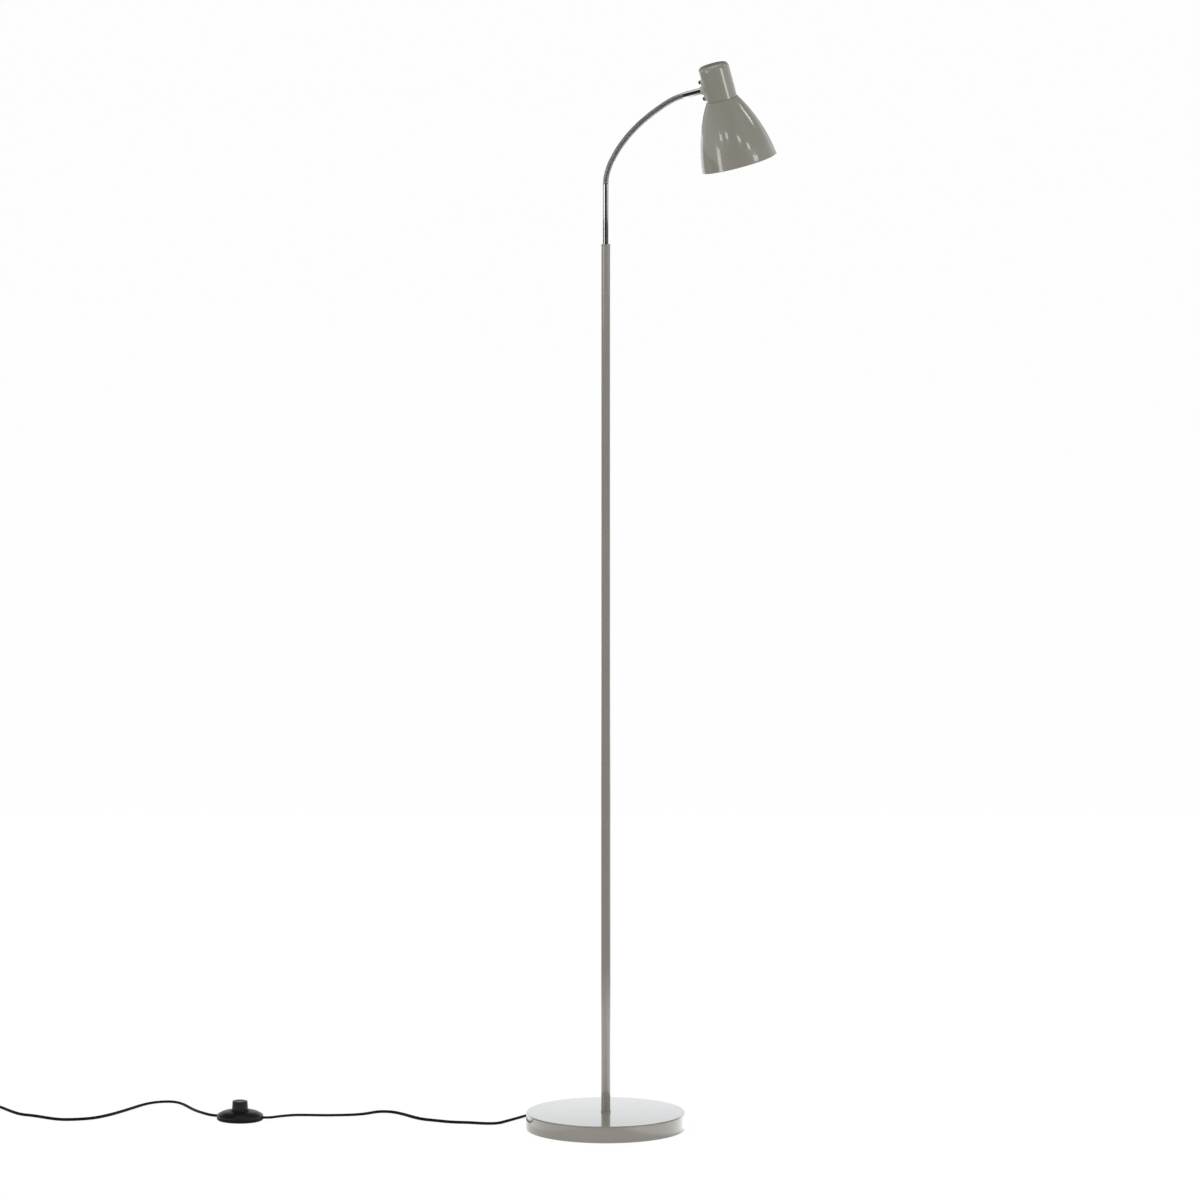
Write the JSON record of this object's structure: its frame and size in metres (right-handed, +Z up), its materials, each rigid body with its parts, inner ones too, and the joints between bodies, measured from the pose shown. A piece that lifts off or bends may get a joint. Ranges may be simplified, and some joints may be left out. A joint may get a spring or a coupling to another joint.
{
  "type": "gooseneck reading floor lamp",
  "caption": "Reading floor lamp: flat round weighted base, slim straight pole, flexible neck, bell shade on a collar, and a cord with a round foot switch.",
  "frame": {"origin": "centre of the base's underside, on the floor under the pole", "axes": "+Z up along the pole, +X the way the neck bends and the shade hangs, +Y to the back, where the cord leaves the base"},
  "size_m": [1.2335, 0.3481, 1.4966],
  "materials": {
    "grey_paint": "glossy warm grey enamel",
    "grey_ring": "glossy warm grey enamel",
    "cast_iron": "rough casting",
    "plain_steel": "zinc plated",
    "foot_rubber": "matte",
    "chrome": "polished",
    "neck_steel": "satin, wound turns",
    "saddle_grey": "satin light grey",
    "cord_plastic": "flexible, satin black",
    "lead_plastic": "insulated cores",
    "white_plastic": "moulded",
    "brass": "plain",
    "cap_aluminium": "rolled",
    "opal_glass": "opal",
    "switch_dark": "moulded black",
    "switch_black": "moulded, semi-gloss black",
    "plug_plastic": "moulded black",
    "tie_plastic": "strap"
  },
  "bodies": {
    "stand": {"base_cover": "grey_paint", "base_plate": "plain_steel", "base_weight": "cast_iron", "clamp_screws": "plain_steel", "coil_tie": "tie_plastic", "cord_clamp": "white_plastic", "cord_coil": "cord_plastic", "cord_gland": "cord_plastic", "cord_lamp_side": "cord_plastic", "cord_plug_side": "cord_plastic", "cord_tail": "cord_plastic", "feed_lead": "lead_plastic", "floor_pad": "foot_rubber", "foot_ring": "grey_ring", "neck_foot_turns": "neck_steel", "neck_sleeve": "chrome", "plug_body": "plug_plastic", "plug_pins": "brass", "plug_relief": "cord_plastic", "pole_couplers": "plain_steel", "pole_lower": "grey_paint", "pole_middle": "grey_paint", "pole_stud": "plain_steel", "pole_top_bush": "grey_paint", "pole_upper": "grey_paint", "stud_nut": "plain_steel", "stud_washer": "plain_steel", "switch_base": "switch_dark", "switch_cartridge": "white_plastic", "switch_cover": "switch_black", "switch_leads": "lead_plastic", "switch_screws": "plain_steel"},
    "link_01": {"neck_link_01": "neck_steel"},
    "link_02": {"neck_link_02": "neck_steel"},
    "link_03": {"neck_link_03": "neck_steel"},
    "link_04": {"neck_link_04": "neck_steel"},
    "link_05": {"neck_link_05": "neck_steel"},
    "link_06": {"neck_link_06": "neck_steel"},
    "link_07": {"neck_link_07": "neck_steel"},
    "link_08": {"neck_link_08": "neck_steel"},
    "link_09": {"neck_link_09": "neck_steel"},
    "head": {"neck_end_turns": "neck_steel", "neck_ferrule": "chrome", "arm_saddle": "saddle_grey", "saddle_screws": "chrome", "arm_nipple": "plain_steel", "arm_nut": "plain_steel", "head_lead": "lead_plastic", "collar_cup": "grey_paint", "shade": "grey_paint", "holder_bracket": "plain_steel", "lampholder": "white_plastic", "holder_nipple": "plain_steel", "holder_nut": "plain_steel", "holder_ring": "white_plastic", "thread_shell": "brass", "centre_contact": "brass", "bulb_cap": "cap_aluminium", "bulb_globe": "opal_glass"},
    "button": {"switch_button": "switch_black"}
  },
  "joints": [
    {"name": "neck_bend_1", "type": "hinge", "parent": "stand", "child": "link_01", "pos_m": [0, 0, 1.3351], "axis": [0, 1, 0], "range_deg": [-15, 12]},
    {"name": "neck_sway_1", "type": "hinge", "parent": "link_01", "child": "link_02", "pos_m": [0.00469, 0, 1.35144], "axis": [0.9613, 0, -0.2756], "range_deg": [-12, 12]},
    {"name": "neck_bend_2", "type": "hinge", "parent": "link_02", "child": "link_03", "pos_m": [0.01214, 0, 1.36672], "axis": [0, 1, 0], "range_deg": [-15, 12]},
    {"name": "neck_sway_2", "type": "hinge", "parent": "link_03", "child": "link_04", "pos_m": [0.02115, 0, 1.38114], "axis": [0.848, 0, -0.5299], "range_deg": [-12, 12]},
    {"name": "neck_bend_3", "type": "hinge", "parent": "link_04", "child": "link_05", "pos_m": [0.03161, 0, 1.39453], "axis": [0, 1, 0], "range_deg": [-15, 12]},
    {"name": "neck_sway_3", "type": "hinge", "parent": "link_05", "child": "link_06", "pos_m": [0.04321, 0, 1.40697], "axis": [0.7314, 0, -0.682], "range_deg": [-12, 12]},
    {"name": "neck_bend_4", "type": "hinge", "parent": "link_06", "child": "link_07", "pos_m": [0.05584, 0, 1.41834], "axis": [0, 1, 0], "range_deg": [-15, 12]},
    {"name": "neck_sway_4", "type": "hinge", "parent": "link_07", "child": "link_08", "pos_m": [0.06924, 0, 1.42881], "axis": [0.6157, 0, -0.788], "range_deg": [-12, 12]},
    {"name": "neck_bend_5", "type": "hinge", "parent": "link_08", "child": "link_09", "pos_m": [0.08316, 0, 1.43856], "axis": [0, 1, 0], "range_deg": [-15, 12]},
    {"name": "neck_sway_5", "type": "hinge", "parent": "link_09", "child": "head", "pos_m": [0.09803, 0, 1.4468], "axis": [0.4848, 0, -0.8746], "range_deg": [-12, 12]},
    {"name": "switch_press", "type": "slide", "parent": "stand", "child": "button", "axis": [0, 0, -1], "range_m": [0, 0.0032], "stiffness_N_per_m": 500, "springref_m": -0.001}
  ],
  "couplings": [
    {"joint": "neck_bend_2", "follows": "neck_bend_1", "ratio": 1},
    {"joint": "neck_sway_2", "follows": "neck_sway_1", "ratio": 1},
    {"joint": "neck_bend_3", "follows": "neck_bend_1", "ratio": 1},
    {"joint": "neck_sway_3", "follows": "neck_sway_1", "ratio": 1},
    {"joint": "neck_bend_4", "follows": "neck_bend_1", "ratio": 1},
    {"joint": "neck_sway_4", "follows": "neck_sway_1", "ratio": 1},
    {"joint": "neck_bend_5", "follows": "neck_bend_1", "ratio": 1},
    {"joint": "neck_sway_5", "follows": "neck_sway_1", "ratio": 1}
  ]
}
